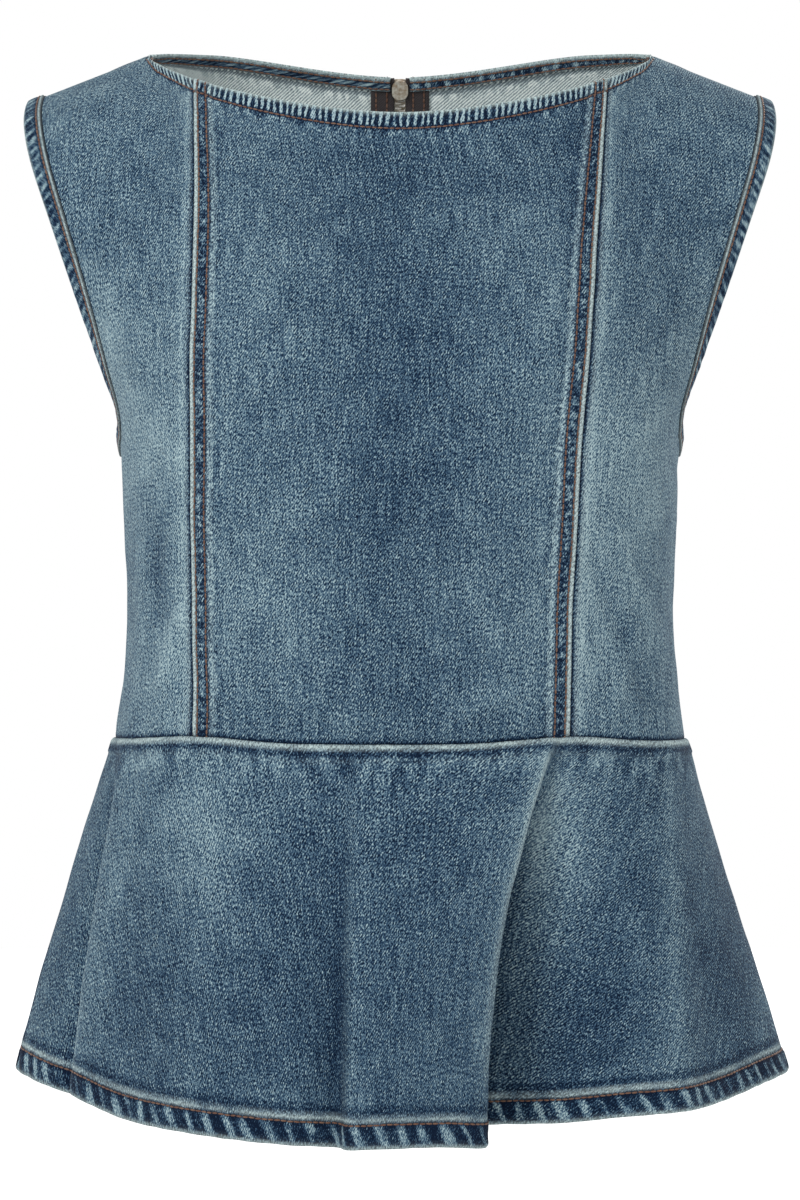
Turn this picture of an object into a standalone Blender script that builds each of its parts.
"""Sleeveless denim top with a flared peplum, filled out as it is when worn, and hollow.

Metres, +Z up. The front faces -Y and the wearer's left is at +X. The origin lies midway between
the shoulder seams, where the shoulders carry the top. Every piece that is cut and sewn is one
object: a wall of cloth whose points come from one shared surface, so that neighbours run parallel.
"""

import math
from typing import NamedTuple

import bmesh
import bpy
import numpy as np

# Cloth and seams
HALF_CLOTH = 0.0007
SEAM_HALF_GAP = 0.00015
RIDGE_WIDTH = 0.008
RIDGE_SLOPE = 0.0015
RIDGE_LIFT = 0.0009
EDGE_STRIP = 0.008
NECK_MITRE = 1.41
LAYER_GAP = 0.0003

# Armhole binding, folded over the edge
BAND_WIDTH = 0.007
BAND_CLOTH = 0.0009
BAND_ROUNDING = 0.0008
UNDERARM_ROUNDING = 0.0022
UNDERARM_SPREAD = 0.010

# Neck facing and zip, inside the back opening
FACING_CLOTH = 0.0010
FACING_STEP = 0.0009
ZIP_HALF_GAP = 0.0055
TAPE_EDGE = 0.0033
TAPE_WIDTH = 0.0165
TAPE_CLOTH = 0.0006
CHAIN_HALF_WIDTH = 0.0030
CHAIN_HALF_DEPTH = 0.0011
CHAIN_OFFSET = -0.0013

# Slider and its pull tab, measured from the hinge between them
HINGE_BELOW_NECK = 0.0065
HINGE_ABOVE_CLOTH = 0.00215
SLIDER_LENGTH = 0.011
SLIDER_WIDTH = 0.009
PLATE_THICK = 0.001
CHANNEL = 0.0028
WEDGE_WIDTH = 0.0046
WEDGE_LENGTH = 0.0040
BAIL_REACH = 0.0040
BAIL_THICK = 0.0010
BAIL_WIDTH = 0.0022
BAIL_CLEAR = 0.00105
PULL_LENGTH = 0.028
PULL_WIDTH = 0.0066
PULL_THICK = 0.0012
PULL_HOLE_WIDTH = 0.0036
PULL_HOLE_END = 0.0055

# Peplum
PEPLUM_OUTSIDE = 0.0008
PEPLUM_DROP = 0.0006
STATION_STEP = 0.013
HEM_FOLD = 0.0007

# Where the columns that shape the body lie, as shares of the way round from the centre
EDGE_SHARE = 0.86
BUST_SHARE = 0.47
NECK_SHARE = 0.74
SIDE_SHARE = 1.0 / EDGE_SHARE
WAIST_LIFT = 0.0038
WAIST_LIFT_REACH = 0.035

# Columns and rows of the bodice's cells
CENTRE_COLUMNS = 5
SEAM_TO_NECK_COLUMNS = 3
BACK_COLUMNS = 7
SHOULDER_COLUMNS = 3
GUSSET_COLUMNS = 3
BODY_ROWS = 9
ARMHOLE_ROWS = 10
UNDERARM_ROW = BODY_ROWS + 1
NECK_ROW = UNDERARM_ROW + ARMHOLE_ROWS
TOP_ROW = NECK_ROW + 1
SEAM_COLUMN = CENTRE_COLUMNS + 2


class Ring(NamedTuple):
    """A level below the armholes: heights at the centre, under the armhole's edge and at the
    side seam, half the breadth, the depth in front of and behind the shoulder line, and how far
    the section fills out towards a box."""

    z_centre: float
    z_edge: float
    z_side: float
    half_width: float
    front: float
    back: float
    fullness: float


class Level(NamedTuple):
    """A level beside the armholes: (x, depth, z) at the centre, the bust, the neck and the edge."""

    centre: tuple
    bust: tuple
    neck: tuple
    edge: tuple


class Princess(NamedTuple):
    """How far the two princess seams stand from the centre at one level."""

    right: float
    left: float


class Fold(NamedTuple):
    """A line down the peplum: its place along the waist in quarters of the way round from the
    right side seam by the front, its hem point (x, forward, z), and how far it bows out."""

    at: float
    x: float
    forward: float
    z: float
    bow: float


class Lip(NamedTuple):
    """A row of the peplum, as a share of its length, and how far its outside is raised there."""

    down: float
    raised: float


RINGS = (
    Ring(-0.3580, -0.3585, -0.3588, 0.1540, 0.1100, 0.0900, 2.30),
    Ring(-0.3360, -0.3370, -0.3380, 0.1510, 0.1145, 0.0890, 2.30),
    Ring(-0.3060, -0.3080, -0.3100, 0.1482, 0.1175, 0.0875, 2.32),
    Ring(-0.2720, -0.2740, -0.2760, 0.1478, 0.1210, 0.0880, 2.38),
    Ring(-0.2330, -0.2345, -0.2400, 0.1490, 0.1255, 0.0920, 2.50),
    Ring(-0.1860, -0.1840, -0.1975, 0.1520, 0.1265, 0.0980, 2.66),
)

FRONT_LEVELS = (
    Level((0, 0.122, -0.160), (0.088, 0.118, -0.158), (0.1365, 0.084, -0.156), (0.158, 0.047, -0.160)),
    Level((0, 0.115, -0.130), (0.090, 0.109, -0.126), (0.138, 0.080, -0.120), (0.172, 0.053, -0.120)),
    Level((0, 0.105, -0.102), (0.092, 0.098, -0.095), (0.139, 0.074, -0.084), (0.185, 0.052, -0.082)),
    Level((0, 0.094, -0.076), (0.095, 0.084, -0.066), (0.140, 0.060, -0.048), (0.196, 0.044, -0.050)),
    Level((0, 0.084, -0.051), (0.099, 0.067, -0.036), (0.140, 0.038, -0.014), (0.2015, 0.026, -0.026)),
    Level((0, 0.075, -0.027), (0.105, 0.046, -0.007), (0.137, 0.000, 0.013), (0.202, -0.004, -0.012)),
)

BACK_LEVELS = (
    Level((0, 0.101, -0.158), (0.087, 0.095, -0.156), (0.1325, 0.071, -0.153), (0.157, 0.042, -0.160)),
    Level((0, 0.101, -0.125), (0.090, 0.096, -0.121), (0.1370, 0.073, -0.116), (0.169, 0.050, -0.122)),
    Level((0, 0.098, -0.092), (0.092, 0.092, -0.086), (0.139, 0.071, -0.078), (0.183, 0.050, -0.084)),
    Level((0, 0.091, -0.060), (0.095, 0.082, -0.052), (0.140, 0.060, -0.042), (0.194, 0.044, -0.052)),
    Level((0, 0.079, -0.020), (0.100, 0.065, -0.008), (0.140, 0.036, 0.000), (0.201, 0.026, -0.027)),
    Level((0, 0.066, 0.011), (0.105, 0.042, 0.020), (0.137, 0.000, 0.013), (0.202, 0.004, -0.012)),
)

PRINCESS = (
    Princess(0.1076, 0.0875),
    Princess(0.1068, 0.0876),
    Princess(0.1073, 0.0882),
    Princess(0.1073, 0.0894),
    Princess(0.1078, 0.0911),
    Princess(0.1078, 0.0943),
    Princess(0.1078, 0.0967),
    Princess(0.1073, 0.0995),
    Princess(0.1068, 0.1021),
    Princess(0.1071, 0.1049),
    Princess(0.1083, 0.1077),
    Princess(0.1096, 0.1102),
)

FOLDS = (
    Fold(0.000, -0.2080, 0.0040, -0.5380, 0.2),
    Fold(0.105, -0.1875, 0.0340, -0.5435, 0.2),
    Fold(0.155, -0.1630, 0.0480, -0.5490, 0.3),
    Fold(0.190, -0.1635, 0.0600, -0.5480, 0.4),
    Fold(0.225, -0.1727, 0.0680, -0.5430, 0.5),
    Fold(0.360, -0.1430, 0.1050, -0.5505, 0.3),
    Fold(0.540, -0.1014, 0.1400, -0.5540, 0.2),
    Fold(0.740, -0.0554, 0.1520, -0.5575, 0.2),
    Fold(0.860, -0.0313, 0.1470, -0.5592, 0.2),
    Fold(0.910, -0.0251, 0.1600, -0.5588, 0.2),
    Fold(1.020, -0.0075, 0.1630, -0.5578, 0.2),
    Fold(1.236, 0.0226, 0.1580, -0.5576, 0.5),
    Fold(1.367, 0.0424, 0.1460, -0.5594, 1.0),
    Fold(1.397, 0.0340, 0.0920, -0.5560, 1.0),
    Fold(1.432, 0.0519, 0.0970, -0.5547, 1.0),
    Fold(1.510, 0.0826, 0.1060, -0.5527, 0.6),
    Fold(1.620, 0.1183, 0.1120, -0.5485, 0.3),
    Fold(1.740, 0.1445, 0.1060, -0.5472, 0.3),
    Fold(1.820, 0.1648, 0.0800, -0.5462, 0.2),
    Fold(1.905, 0.1923, 0.0400, -0.5415, 0.05),
    Fold(2.000, 0.2109, 0.0000, -0.5391, 0.0),
    Fold(2.120, 0.2040, -0.0420, -0.5410, 0.05),
    Fold(2.220, 0.1720, -0.0660, -0.5475, 0.3),
    Fold(2.330, 0.1580, -0.1000, -0.5465, 0.3),
    Fold(2.460, 0.1280, -0.1300, -0.5480, 0.3),
    Fold(2.570, 0.0960, -0.1240, -0.5520, 0.3),
    Fold(2.660, 0.0730, -0.0980, -0.5560, 0.3),
    Fold(2.750, 0.0500, -0.1180, -0.5535, 0.3),
    Fold(2.870, 0.0200, -0.1400, -0.5515, 0.2),
    Fold(3.045, -0.0180, -0.1430, -0.5515, 0.2),
    Fold(3.200, -0.0480, -0.1220, -0.5535, 0.3),
    Fold(3.300, -0.0700, -0.0970, -0.5560, 0.3),
    Fold(3.400, -0.0940, -0.1220, -0.5520, 0.3),
    Fold(3.540, -0.1270, -0.1310, -0.5480, 0.3),
    Fold(3.670, -0.1580, -0.1030, -0.5460, 0.3),
    Fold(3.800, -0.1760, -0.0640, -0.5470, 0.3),
    Fold(3.890, -0.2015, -0.0360, -0.5410, 0.2),
)

PEPLUM_ROWS = (
    Lip(0.000, 0.0008),
    Lip(0.012, 0.0009),
    Lip(0.030, 0.0003),
    Lip(0.080, 0.0),
    Lip(0.220, 0.0),
    Lip(0.360, 0.0),
    Lip(0.500, 0.0),
    Lip(0.650, 0.0),
    Lip(0.800, 0.0),
    Lip(0.925, 0.0),
    Lip(0.938, HEM_FOLD),
    Lip(1.000, HEM_FOLD),
)

LEVEL_COUNT = len(RINGS) + len(FRONT_LEVELS)
LAST_RING = len(RINGS) - 1
TOP_LEVEL = LEVEL_COUNT - 1


def unit(vectors):
    """The same directions at length one."""
    return vectors / np.linalg.norm(vectors, axis=-1, keepdims=True)


def running_length(points):
    """How far along a line of points each of them lies."""
    steps = np.linalg.norm(np.diff(points, axis=0), axis=1)
    return np.concatenate([[0.0], np.cumsum(steps)])


def hermite(knots, values, tangents, at):
    """Reads a cubic that has these values and tangents at its knots."""
    gaps = np.diff(knots)
    i = np.clip(np.searchsorted(knots, at, side="right") - 1, 0, len(gaps) - 1)
    gap = gaps[i][:, None]
    t = ((at - knots[i]) / gaps[i])[:, None]
    rise = t * t * (3 - 2 * t)
    start = values[i] + (values[i + 1] - values[i]) * rise
    return start + gap * t * (1 - t) * (tangents[i] * (1 - t) - tangents[i + 1] * t)


def smooth(knots, values, at):
    """Reads the smooth curve that passes through the values at their knots."""
    gaps = np.diff(knots)[:, None]
    slopes = np.diff(values, axis=0) / gaps
    tangents = np.empty_like(values)
    tangents[1:-1] = (slopes[:-1] * gaps[1:] + slopes[1:] * gaps[:-1]) / (gaps[1:] + gaps[:-1])
    tangents[0] = 1.5 * slopes[0] - 0.5 * tangents[1]
    tangents[-1] = 1.5 * slopes[-1] - 0.5 * tangents[-2]
    return hermite(knots, values, tangents, at)


def rising(knots, values, at):
    """Reads a smooth curve that never turns back between rising values."""
    slopes = np.diff(values) / np.diff(knots)
    tangents = np.empty_like(values)
    tangents[1:-1] = 2 * slopes[:-1] * slopes[1:] / (slopes[:-1] + slopes[1:])
    tangents[0] = slopes[0]
    tangents[-1] = slopes[-1]
    return hermite(knots, values[:, None], tangents[:, None], at)[:, 0]


def ring_row(ring, depth, shares, lift_at):
    """Points (x, depth, z) of a level below the armholes, at shares of the way to the edge."""
    turn = np.linspace(0, math.pi / 2, 1601)
    outline = np.stack(
        [
            ring.half_width * np.sin(turn) ** (2 / ring.fullness),
            depth * np.abs(np.cos(turn)) ** (2 / ring.fullness),
        ],
        axis=1,
    )
    length = running_length(outline)
    c = shares * EDGE_SHARE
    x, forward = (np.interp(c * length[-1], length, outline[:, k]) for k in (0, 1))
    inner = np.clip(c / EDGE_SHARE, 0, 1)
    outer = np.clip((1 - c) / (1 - EDGE_SHARE), 0, 1)
    z = ring.z_centre + (ring.z_edge - ring.z_centre) * inner * inner * (3 - 2 * inner)
    z = np.where(c > EDGE_SHARE, ring.z_edge + (ring.z_side - ring.z_edge) * (1 - outer * outer), z)
    if lift_at:
        z = z + WAIST_LIFT * np.exp(-(((x - lift_at) / WAIST_LIFT_REACH) ** 2))
    return np.stack([x, forward, z], axis=1)


def level_row(level, shares, beyond):
    """Points (x, depth, z) of a level beside the armholes. The top one turns a corner at the
    neck point, and beyond says where its neckline would go on."""
    centre, bust, neck, edge = (np.array(point, float) for point in level)
    across = bust * (-1, 1, 1)
    if beyond is None:
        knots = np.array([-BUST_SHARE, 0, BUST_SHARE, NECK_SHARE, 1])
        return smooth(knots, np.array([across, centre, bust, neck, edge]), shares)
    knots = np.array([-BUST_SHARE, 0, BUST_SHARE, NECK_SHARE, 2 * NECK_SHARE - BUST_SHARE])
    neckline = smooth(knots, np.array([across, centre, bust, neck, beyond]), np.minimum(shares, NECK_SHARE))
    out = np.clip((shares - NECK_SHARE) / (1 - NECK_SHARE), 0, 1)[:, None]
    return np.where(out > 0, neck + (edge - neck) * out, neckline)


class Quarter:
    """A quarter of the bodice. A place on it is a column, counted from the centre to the
    armhole's edge and on to the side seam, and a row, from the waist seam to the top."""

    def __init__(self, side, front):
        self.side = side
        self.front = front
        self.levels = FRONT_LEVELS if front else BACK_LEVELS
        self.other_levels = BACK_LEVELS if front else FRONT_LEVELS
        first_part = SEAM_COLUMN + SEAM_TO_NECK_COLUMNS if front else 1 + BACK_COLUMNS
        self.neck = first_part
        self.edge = self.neck + 1 + SHOULDER_COLUMNS + 1
        self.last = self.edge + GUSSET_COLUMNS
        self.first = 0 if front else -1
        self.numbers = np.arange(self.first, self.last + 1)
        self.shares = [self.column_shares(k) for k in range(LEVEL_COUNT)]

    def row(self, k, shares):
        """Points (x, depth, z) of level k at shares of the way from the centre to the edge."""
        if k <= LAST_RING:
            ring = RINGS[k]
            seam = self.seam(k) if self.front and k == 0 else 0
            return ring_row(ring, ring.front if self.front else ring.back, shares, seam)
        level = self.levels[k - len(RINGS)]
        beyond = None
        if k == TOP_LEVEL:
            beyond = np.array(self.other_levels[-1].bust) * (1, -1, 1)
        return level_row(level, shares, beyond)

    def seam(self, k):
        """How far the princess seam is from the centre at level k."""
        return PRINCESS[k].left if self.side > 0 else PRINCESS[k].right

    def column_shares(self, k):
        """Where each column crosses level k, as shares of the way from the centre to the edge."""
        shares = np.concatenate(
            [
                np.linspace(0, NECK_SHARE, 400),
                np.linspace(NECK_SHARE, 1, 200)[1:],
                np.linspace(1, SIDE_SHARE, 100)[1:] if k <= LAST_RING else [],
            ]
        )
        points = self.row(k, shares)
        length = running_length(points)
        neck = np.interp(NECK_SHARE, shares, length)
        edge = np.interp(1.0, shares, length)
        if self.front:
            seam = np.interp(self.seam(k), points[:, 0], length)
            inner = [
                np.linspace(0, seam - RIDGE_WIDTH - RIDGE_SLOPE, CENTRE_COLUMNS + 1),
                [seam - RIDGE_WIDTH],
                np.linspace(seam, neck, SEAM_TO_NECK_COLUMNS + 1),
            ]
        else:
            inner = [[TAPE_EDGE, ZIP_HALF_GAP], np.linspace(TAPE_WIDTH, neck, BACK_COLUMNS + 1)]
        places = np.concatenate(
            [
                *inner,
                np.linspace(neck + EDGE_STRIP, edge - BAND_WIDTH, SHOULDER_COLUMNS + 1),
                np.linspace(edge, length[-1], GUSSET_COLUMNS + 1)
                if k <= LAST_RING
                else np.full(GUSSET_COLUMNS + 1, edge),
            ]
        )
        return np.interp(places, length, shares)

    def controls(self, column):
        """The points where a column crosses the levels, and one past its end to aim at."""
        count = LEVEL_COUNT if column <= self.edge else len(RINGS)
        shares = [np.interp([column], self.numbers, self.shares[k]) for k in range(count)]
        points = [self.row(k, shares[k])[0] for k in range(count)]
        if count < LEVEL_COUNT:
            edge_below = self.row(LAST_RING, np.array([1.0]))[0]
            edge_above = self.row(LAST_RING + 1, np.array([1.0]))[0]
            fade = (self.last - column) / GUSSET_COLUMNS
            points.append(points[-1] + (edge_above - edge_below) * (1, fade, 1))
            return np.array(points)
        straight = 2 * points[-1] - points[-2]
        past = np.clip(column - self.neck + 1, 0, 1)
        past = past * past * (3 - 2 * past)
        other = self.twin()
        across = other.row(TOP_LEVEL - 1, other.share_beside(column - self.neck))[0] * (1, -1, 1)
        points.append(straight + (across - straight) * past)
        return np.array(points)

    def share_beside(self, columns_past_neck):
        """Where a shoulder column crosses the last level but one."""
        column = self.neck + max(columns_past_neck, 0)
        return np.interp([column], self.numbers, self.shares[TOP_LEVEL - 1])

    def twin(self):
        """The quarter in front of or behind this one."""
        return QUARTERS[self.side, not self.front]

    def point(self, column, rows):
        """World points of one column at the given rows."""
        column, rows = round_underarm(self, column, np.asarray(rows, float))
        found = []
        for one_column, row in zip(column, rows):
            controls = self.controls(one_column)
            knots = HEIGHTS[: len(controls)]
            lead = smooth(knots, controls, np.array([knots[-2] - EDGE_STRIP]))[0]
            speed = np.linalg.norm(controls[-2] - lead) / EDGE_STRIP
            mitre = np.interp(one_column, (self.neck - 1, self.neck, self.neck + 1), (1, NECK_MITRE, 1))
            neck_row = knots[-2] - EDGE_STRIP * mitre / speed
            under = HEIGHTS[LAST_RING]
            height = np.interp(
                row,
                (0, BODY_ROWS, UNDERARM_ROW, NECK_ROW, TOP_ROW),
                (0, under - BAND_WIDTH, under, max(neck_row, under), max(knots[-2], under)),
            )
            found.append(smooth(knots, controls, np.array([height]))[0])
        x, depth, z = np.array(found).T
        return np.stack([self.side * x, -depth if self.front else depth, z], axis=1)


def round_underarm(quarter, column, rows):
    """Moves places near the armhole's lower corner inwards, so that its edge turns in an arc."""
    columns = np.full(len(rows), float(column))
    edge = quarter.edge
    column_knots = (0, edge - 2, edge - 1, edge, quarter.last)
    column_place = (-0.17, -0.019, -BAND_WIDTH, 0, 0.045)
    row_knots = (0, BODY_ROWS - 1, BODY_ROWS, UNDERARM_ROW, NECK_ROW, TOP_ROW)
    row_place = (-0.180, -0.028, -BAND_WIDTH, 0, 0.150, 0.158)
    across = np.interp(columns, column_knots, column_place)
    up = np.interp(rows, row_knots, row_place)
    shift = UNDERARM_ROUNDING * np.exp(-(across**2 + up**2) / (2 * UNDERARM_SPREAD**2))
    shift[shift < UNDERARM_ROUNDING / 100] = 0
    moved = shift > 0
    columns[moved] = np.interp((across - shift)[moved], column_place, column_knots)
    rows = np.where(moved, np.interp(up - shift, row_place, row_knots), rows)
    return columns, rows


def level_heights():
    """How far up the bodice each level is, as a mean over its columns, and one step past."""
    shares = np.array([0, BUST_SHARE, NECK_SHARE, 1])
    rows = []
    for k in range(LEVEL_COUNT):
        rows.append([QUARTERS[1, front].row(k, shares) for front in (True, False)])
    steps = np.linalg.norm(np.diff(np.array(rows), axis=0), axis=-1).mean(axis=(1, 2))
    heights = np.concatenate([[0.0], np.cumsum(steps)])
    return np.append(heights, 2 * heights[-1] - heights[-2])


QUARTERS = {(side, front): Quarter(side, front) for side in (1, -1) for front in (True, False)}
HEIGHTS = level_heights()


def bodice_grids():
    """The whole bodice's points, one array [column, row, xyz] a quarter, empty above the gusset."""
    grids = {}
    for key, quarter in QUARTERS.items():
        grid = np.full((len(quarter.numbers), TOP_ROW + 1, 3), np.nan)
        for i, column in enumerate(quarter.numbers):
            count = TOP_ROW + 1 if column <= quarter.edge else UNDERARM_ROW + 1
            grid[i, :count] = quarter.point(column, np.arange(count))
        grids[key] = grid
    return grids


def place_of(point):
    """A key that is the same for points that fall together."""
    return tuple(int(round(v * 1e5)) for v in point)


def shared_normals(grids, outward):
    """Normals at every point, each a mean over all the cells that meet there in any grid."""
    sums = {}
    for key, grid in grids.items():
        a, b, c, d = grid[:-1, :-1], grid[1:, :-1], grid[1:, 1:], grid[:-1, 1:]
        faces = np.cross(c - a, d - b) * outward[key]
        for corner in (a, b, c, d):
            for point, face in zip(corner.reshape(-1, 3), faces.reshape(-1, 3)):
                if not np.isnan(face).any():
                    place = place_of(point)
                    sums[place] = sums.get(place, 0) + face
    normals = {}
    for key, grid in grids.items():
        flat = grid.reshape(-1, 3)
        found = [sums.get(place_of(p), np.full(3, np.nan)) if not np.isnan(p).any() else p for p in flat]
        normals[key] = unit(np.array(found)).reshape(grid.shape)
    return normals


def pulled_in(grid, edge, inner):
    """Moves one seam edge of a grid towards the points beside it by half the seam's gap."""
    grid[edge] += unit(grid[inner] - grid[edge]) * SEAM_HALF_GAP


def material(name, colour, roughness, metallic=0.0):
    """A plain finish for one object."""
    made = bpy.data.materials.new(name)
    made.use_nodes = True
    shader = made.node_tree.nodes["Principled BSDF"]
    shader.inputs["Base Color"].default_value = (*colour, 1)
    shader.inputs["Roughness"].default_value = roughness
    shader.inputs["Metallic"].default_value = metallic
    return made


def add_object(name, bm, finish, smooth_shaded=True):
    """Puts a finished bmesh in the scene as one object."""
    mesh = bpy.data.meshes.new(name)
    bmesh.ops.triangulate(bm, faces=bm.faces[:])
    bmesh.ops.recalc_face_normals(bm, faces=bm.faces[:])
    bm.to_mesh(mesh)
    bm.free()
    if smooth_shaded:
        mesh.shade_smooth()
        mesh.set_sharp_from_angle(angle=math.radians(40))
    mesh.materials.append(material(name, *finish))
    obj = bpy.data.objects.new(name, mesh)
    bpy.context.scene.collection.objects.link(obj)
    return obj


def shaped_grid(points):
    """A bmesh grid moved onto an array of points [column, row, xyz], with empty places cut away."""
    columns, rows = points.shape[:2]
    bm = bmesh.new()
    bmesh.ops.create_grid(bm, x_segments=columns - 1, y_segments=rows - 1, size=0.5)
    mark = bm.verts.layers.int.new("place")
    empty = []
    for vert in bm.verts:
        i = round((vert.co.x + 0.5) * (columns - 1))
        j = round((vert.co.y + 0.5) * (rows - 1))
        vert[mark] = i * rows + j
        if np.isnan(points[i, j]).any():
            empty.append(vert)
        else:
            vert.co = points[i, j]
    bmesh.ops.delete(bm, geom=empty, context="VERTS")
    return bm, mark


def wall(name, points, normals, low, high, finish):
    """A wall of cloth: a grid of points, moved along their normals by low inside and by high
    outside, each one number or one for every point."""
    shape = points.shape[:2]
    outside = points + normals * np.broadcast_to(high, shape)[..., None]
    inside = (points + normals * np.broadcast_to(low, shape)[..., None]).reshape(-1, 3)
    bm, mark = shaped_grid(outside)
    made = bmesh.ops.extrude_face_region(bm, geom=bm.faces[:] + bm.edges[:] + bm.verts[:], use_keep_orig=True)
    for item in made["geom"]:
        if isinstance(item, bmesh.types.BMVert):
            item.co = inside[item[mark]]
    bmesh.ops.remove_doubles(bm, verts=bm.verts[:], dist=1e-6)
    return add_object(name, bm, finish)


def tube(name, sections, closed, finish):
    """A solid through sections of the same number of points, closed round or capped at its ends."""
    around = np.concatenate([sections, sections[:, :1]], axis=1)
    if closed:
        around = np.concatenate([around, around[:1]], axis=0)
    bm, _mark = shaped_grid(around)
    bmesh.ops.remove_doubles(bm, verts=bm.verts[:], dist=1e-6)
    if not closed:
        bmesh.ops.holes_fill(bm, edges=bm.edges[:], sides=sections.shape[1])
    return add_object(name, bm, finish)


DENIM = ((0.080, 0.130, 0.175), 0.85)
DENIM_FADED = ((0.150, 0.220, 0.280), 0.85)
DENIM_DARK = ((0.045, 0.075, 0.110), 0.85)
TAPE = ((0.030, 0.022, 0.020), 0.8)
METAL = ((0.42, 0.39, 0.34), 0.35, 1.0)


def build_front_centre(grids, normals):
    """The middle front panel, raised along both princess seams over their turned allowances."""
    right = grids[-1, True][: SEAM_COLUMN + 1].copy()
    left = grids[1, True][: SEAM_COLUMN + 1].copy()
    for half in (right, left):
        pulled_in(half, np.s_[-1, :], np.s_[-2, :])
        pulled_in(half, np.s_[:, 0], np.s_[:, 1])
    points = np.concatenate([right[::-1], left[1:]])
    facing = [normals[side, True][: SEAM_COLUMN + 1] for side in (-1, 1)]
    high = np.full(points.shape[:2], HALF_CLOTH)
    high[[0, 1, -2, -1]] += RIDGE_LIFT
    wall("front_centre", points, np.concatenate([facing[0][::-1], facing[1][1:]]), -HALF_CLOTH, high, DENIM)


def build_front_side(grids, normals, side, name):
    """The panel between a princess seam and a side seam, with the front half of the armhole."""
    quarter = QUARTERS[side, True]
    points = grids[side, True][SEAM_COLUMN:].copy()
    pulled_in(points, np.s_[0, :], np.s_[1, :])
    pulled_in(points, np.s_[-1, : UNDERARM_ROW + 1], np.s_[-2, : UNDERARM_ROW + 1])
    pulled_in(points, np.s_[:, 0], np.s_[:, 1])
    shoulder = np.s_[quarter.neck - SEAM_COLUMN : quarter.edge - SEAM_COLUMN + 1]
    pulled_in(points, (shoulder, TOP_ROW), (shoulder, TOP_ROW - 1))
    wall(name, points, normals[side, True][SEAM_COLUMN:], -HALF_CLOTH, HALF_CLOTH, DENIM_FADED)


def build_back(grids, normals, side, name):
    """A back panel, from the zip to the side seam."""
    quarter = QUARTERS[side, False]
    points = grids[side, False][1:].copy()
    pulled_in(points, np.s_[-1, : UNDERARM_ROW + 1], np.s_[-2, : UNDERARM_ROW + 1])
    pulled_in(points, np.s_[:, 0], np.s_[:, 1])
    shoulder = np.s_[quarter.neck : quarter.edge + 1]
    pulled_in(points, (shoulder, TOP_ROW), (shoulder, TOP_ROW - 1))
    wall(name, points, normals[side, False][1:], -HALF_CLOTH, HALF_CLOTH, DENIM)


def armhole_route(quarter):
    """Pairs of places, on the armhole's edge and on the binding's inner line, from the side seam
    up to the shoulder. The corner place has three inner ones."""
    edge = quarter.edge
    pairs = [((c, UNDERARM_ROW), (c, BODY_ROWS)) for c in range(quarter.last, edge - 1, -1)]
    pairs.append(((edge, UNDERARM_ROW), (edge - 1, BODY_ROWS)))
    pairs += [((edge, r), (edge - 1, r)) for r in range(UNDERARM_ROW, TOP_ROW + 1)]
    return pairs


def build_armhole_band(grids, normals, side, name):
    """The folded binding round one armhole, a U in section that holds the panels' edges."""
    edge_points, inner_points, edge_normals, inner_normals = [], [], [], []
    for front in (True, False):
        quarter = QUARTERS[side, front]
        pairs = armhole_route(quarter)
        if not front:
            pairs = pairs[::-1][1:-1]
        for (c, r), (ci, ri) in pairs:
            skip = quarter.first
            edge_points.append(grids[side, front][c - skip, r])
            inner_points.append(grids[side, front][ci - skip, ri])
            edge_normals.append(normals[side, front][c - skip, r])
            inner_normals.append(normals[side, front][ci - skip, ri])
    edge_points, inner_points = np.array(edge_points), np.array(inner_points)
    edge_normals, inner_normals = np.array(edge_normals), np.array(inner_normals)
    out = unit(edge_points - inner_points)
    for place in np.unique(np.round(edge_points, 6), axis=0):
        same = np.all(np.round(edge_points, 6) == place, axis=1)
        out[same] = unit(out[same].sum(axis=0))
    near, far = HALF_CLOTH + LAYER_GAP, HALF_CLOTH + LAYER_GAP + BAND_CLOTH
    tip = LAYER_GAP + BAND_CLOTH
    outer_turn = [
        (tip - BAND_ROUNDING, far),
        (tip, far - BAND_ROUNDING),
        (tip, BAND_ROUNDING - far),
        (tip - BAND_ROUNDING, -far),
    ]
    inner_turn = [(LAYER_GAP, -near), (LAYER_GAP, near)]
    rings = [inner_points + inner_normals * d for d in (near, far)]
    rings += [edge_points + out * a + edge_normals * b for a, b in outer_turn]
    rings += [inner_points - inner_normals * d for d in (far, near)]
    rings += [edge_points + out * a + edge_normals * b for a, b in inner_turn]
    tube(name, np.stack(rings, axis=1), True, DENIM_DARK)


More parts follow.
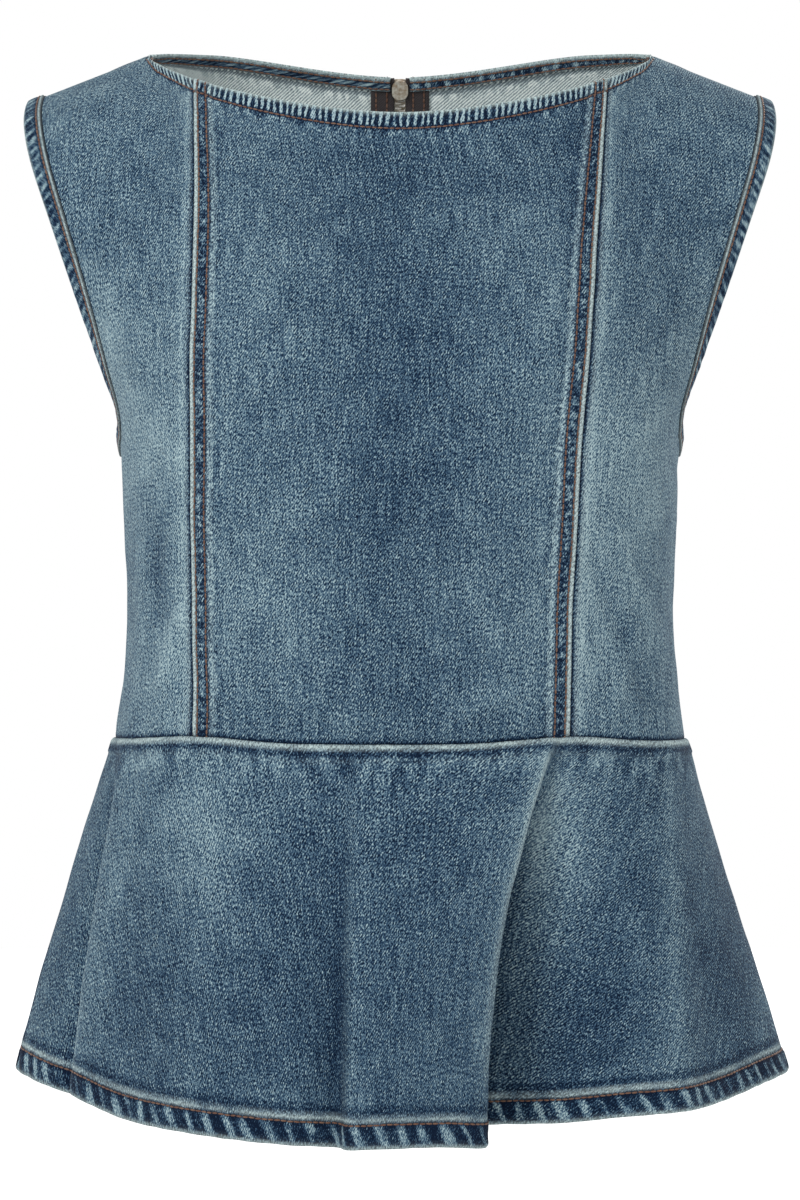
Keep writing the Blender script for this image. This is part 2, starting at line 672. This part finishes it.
def build_neck_facing(grids, normals):
    """The strip that faces the neck on the inside, open at the zip, stepped over its tapes."""
    front_neck, back_neck = QUARTERS[1, True].neck, QUARTERS[1, False].neck
    strip_points, strip_normals, steps = [], [], []
    for side in (-1, 1):
        back, front = QUARTERS[side, False], QUARTERS[side, True]
        places = [((False, c), NECK_ROW, (False, c), TOP_ROW) for c in range(back_neck + 1)]
        places.append(((False, back_neck + 1), NECK_ROW, (False, back_neck), TOP_ROW))
        places.append(((False, back_neck + 1), TOP_ROW, (False, back_neck), TOP_ROW))
        places.append(((True, front_neck + 1), NECK_ROW, (True, front_neck), TOP_ROW))
        last = 0 if side < 0 else 1
        places += [((True, c), NECK_ROW, (True, c), TOP_ROW) for c in range(front_neck, last - 1, -1)]
        over_tape = [FACING_STEP if not p[0][0] and p[0][1] <= 1 else 0.0 for p in places]
        if side > 0:
            places, over_tape = places[::-1], over_tape[::-1]
        for (half, c), r, (half_top, c_top), r_top in places:
            skip = front.first if half else back.first
            skip_top = front.first if half_top else back.first
            pair = (grids[side, half][c - skip, r], grids[side, half_top][c_top - skip_top, r_top])
            aim = (normals[side, half][c - skip, r], normals[side, half_top][c_top - skip_top, r_top])
            strip_points.append(pair)
            strip_normals.append(aim)
        steps += over_tape
    points, aims = np.array(strip_points), np.array(strip_normals)
    step = np.array(steps)[:, None]
    near = -(HALF_CLOTH + LAYER_GAP) - step
    wall("neck_facing", points, aims, near - FACING_CLOTH, near, DENIM_FADED)


def build_zip_tape(grids, normals, side, name):
    """One half of the zip's tape, behind the back panel's edge."""
    points = grids[side, False][:3].copy()
    aims = normals[side, False][:3].copy()
    aims[0] = aims[1]
    pulled_in(points, np.s_[:, 0], np.s_[:, 1])
    near = -(HALF_CLOTH + LAYER_GAP)
    wall(name, points, aims, near - TAPE_CLOTH, near, TAPE)


def build_zip_chain(grids, normals):
    """The closed teeth as one bar, from the waist up into the slider."""
    right, left = grids[-1, False][0, : NECK_ROW + 1], grids[1, False][0, : NECK_ROW + 1]
    middle = (right + left) / 2
    pulled_in(middle, 0, 1)
    aim = normals[1, False][1, : NECK_ROW + 1] * (0, 1, 1)
    aim = unit(aim)
    sections = []
    for x, y in ((-1, -1), (1, -1), (1, 1), (-1, 1)):
        corner = middle + aim * (CHAIN_OFFSET + y * CHAIN_HALF_DEPTH)
        sections.append(corner + np.array([x * CHAIN_HALF_WIDTH, 0, 0]))
    tube("zip_chain", np.stack(sections, axis=1), False, METAL)


def box(bm, low, high):
    """Adds a box between two corners and returns its edges."""
    low, high = np.array(low, float), np.array(high, float)
    made = bmesh.ops.create_cube(bm, size=1.0)
    for vert in made["verts"]:
        vert.co = (low + high) / 2 + np.array(vert.co) * (high - low)
    return list({edge for vert in made["verts"] for edge in vert.link_edges})


def plate(name, low, high, radius, finish):
    """A flat plate that faces Y, with round corners."""
    bm = bmesh.new()
    edges = [e for e in box(bm, low, high) if abs(e.verts[0].co.y - e.verts[1].co.y) > 1e-6]
    bmesh.ops.bevel(bm, geom=edges, offset=radius, affect="EDGES", segments=4, profile=0.5, material=-1)
    return add_object(name, bm, finish)


def combine(base, helper, operation):
    """Joins a helper to a base, or cuts it out, and hides the helper."""
    modifier = base.modifiers.new(helper.name, "BOOLEAN")
    modifier.operation = operation
    modifier.solver = "EXACT"
    modifier.object = helper
    helper.parent = base
    helper.hide_render = True
    helper.display_type = "WIRE"


def hinge_frame():
    """The hinge's place and its tilt about X, from the back's centre line under the neck."""
    column = QUARTERS[1, False]
    line = column.point(column.first, (NECK_ROW, TOP_ROW)) * (0, 1, 1)
    down = unit(line[0] - line[1])
    out = np.array([0, -down[2], down[1]])
    place = line[1] + down * HINGE_BELOW_NECK + out * HINGE_ABOVE_CLOTH
    return place, math.atan2(out[2], out[1])


def build_slider(place, tilt):
    """The slider: two plates held apart by a wedge, and the bail that the pull hangs on."""
    half_w, half_l = SLIDER_WIDTH / 2, SLIDER_LENGTH / 2
    outer_low = -BAIL_CLEAR - PLATE_THICK
    inner_high = outer_low - CHANNEL
    slider = plate("zip_slider", (-half_w, outer_low, -half_l), (half_w, -BAIL_CLEAR, half_l), 0.0022, METAL)
    inner = plate(
        "slider_inner_plate",
        (-half_w, inner_high - PLATE_THICK, -half_l),
        (half_w, inner_high, half_l),
        0.0040,
        METAL,
    )
    sunk = PLATE_THICK / 2
    wedge = plate(
        "slider_wedge",
        (-WEDGE_WIDTH / 2, inner_high - sunk, half_l - WEDGE_LENGTH),
        (WEDGE_WIDTH / 2, outer_low + sunk, half_l - 0.0004),
        0.0015,
        METAL,
    )
    top = BAIL_CLEAR + BAIL_THICK
    bail_half = BAIL_WIDTH / 2
    bail = plate(
        "slider_bail",
        (-bail_half, -BAIL_CLEAR - sunk, -BAIL_REACH),
        (bail_half, top, BAIL_REACH),
        0.0004,
        METAL,
    )
    eye = plate(
        "slider_bail_eye",
        (-2 * bail_half, -BAIL_CLEAR, BAIL_THICK - BAIL_REACH),
        (2 * bail_half, BAIL_CLEAR, BAIL_REACH - BAIL_THICK),
        0.0003,
        METAL,
    )
    combine(bail, eye, "DIFFERENCE")
    for helper in (wedge, inner, bail):
        combine(slider, helper, "UNION")
    slider.location = place
    slider.rotation_euler = (tilt, 0, 0)


def build_pull(place, tilt):
    """The pull tab, whose top bar turns under the bail."""
    half_w, half_t = PULL_WIDTH / 2, PULL_THICK / 2
    low = (-half_w, -half_t, half_t - PULL_LENGTH)
    pull = plate("zip_pull", low, (half_w, half_t, half_t), 0.0016, METAL)
    hole = plate(
        "pull_hole",
        (-PULL_HOLE_WIDTH / 2, -PULL_THICK, -PULL_HOLE_END),
        (PULL_HOLE_WIDTH / 2, PULL_THICK, -half_t),
        0.0005,
        METAL,
    )
    combine(pull, hole, "DIFFERENCE")
    pull.location = place
    pull.rotation_euler = (tilt, 0, 0)


def waist_point(at):
    """A point on the waist seam, in quarters of the way round from the right side seam."""
    side, front = ((-1, True), (1, True), (1, False), (-1, False))[int(at) % 4]
    part = at % 1
    share = 1 - part if int(at) % 2 == 0 else part
    x, depth, z = QUARTERS[side, front].row(0, np.array([share * SIDE_SHARE]))[0]
    return np.array([side * x, -depth if front else depth, z])


def peplum_lines():
    """The peplum's lines down, as waist places, hem points and bows, once round and closed."""
    keys = np.array([(f.x, -f.forward, f.z, f.bow) for f in FOLDS])
    at = np.array([f.at for f in FOLDS])
    count = len(FOLDS)
    wrapped = np.arange(-2, count + 3)
    values = keys[wrapped % count]
    turns = at[wrapped % count] + 4 * (wrapped // count)
    knots = np.concatenate([[0.0], np.cumsum(np.linalg.norm(np.diff(values[:, :3], axis=0), axis=1) ** 0.5)])
    places = []
    for i in range(2, count + 2):
        steps = max(1, round(float(np.linalg.norm(values[i + 1, :3] - values[i, :3])) / STATION_STEP))
        places.append(knots[i] + (knots[i + 1] - knots[i]) * np.arange(steps) / steps)
    places = np.append(np.concatenate(places), knots[count + 2])
    return rising(knots, turns, places), smooth(knots, values, places)


def peplum_grid():
    """Points [line, row, xyz] of the peplum's middle surface, closed round."""
    turns, hems = peplum_lines()
    down = np.array([row.down for row in PEPLUM_ROWS])[:, None]
    lines = []
    for at, hem in zip(turns, hems):
        waist = waist_point(at)
        waist[:2] += unit(waist[:2]) * PEPLUM_OUTSIDE
        waist[2] -= PEPLUM_DROP
        spread = down + hem[3] * down * (1 - down)
        line = waist + (hem[:3] - waist) * np.concatenate([spread, spread, down], axis=1)
        lines.append(line)
    return turns, np.array(lines)


def build_peplum():
    """The front and back of the flared peplum, with its raised top lip and turned hem."""
    turns, points = peplum_grid()
    points[-1] = points[0]
    aims = shared_normals({"peplum": points}, {"peplum": -1})["peplum"]
    high = HALF_CLOTH + np.array([row.raised for row in PEPLUM_ROWS])
    left_seam = int(np.argmin(np.abs(turns - 2)))
    for name, part in (("peplum_front", np.s_[: left_seam + 1]), ("peplum_back", np.s_[left_seam:])):
        piece = points[part].copy()
        pulled_in(piece, np.s_[0, :], np.s_[1, :])
        pulled_in(piece, np.s_[-1, :], np.s_[-2, :])
        wall(name, piece, aims[part], -HALF_CLOTH, high[None, :], DENIM)


def main():
    """Clears the scene and builds every piece."""
    for obj in list(bpy.data.objects):
        bpy.data.objects.remove(obj, do_unlink=True)
    grids = bodice_grids()
    outward = {(side, front): side if front else -side for side, front in grids}
    normals = shared_normals(grids, outward)
    build_front_centre(grids, normals)
    for side, word in ((-1, "right"), (1, "left")):
        build_front_side(grids, normals, side, f"front_side_{word}")
        build_back(grids, normals, side, f"back_{word}")
        build_armhole_band(grids, normals, side, f"armhole_band_{word}")
        build_zip_tape(grids, normals, side, f"zip_tape_{word}")
    build_neck_facing(grids, normals)
    build_zip_chain(grids, normals)
    place, tilt = hinge_frame()
    build_slider(place, tilt)
    build_pull(place, tilt)
    build_peplum()


main()
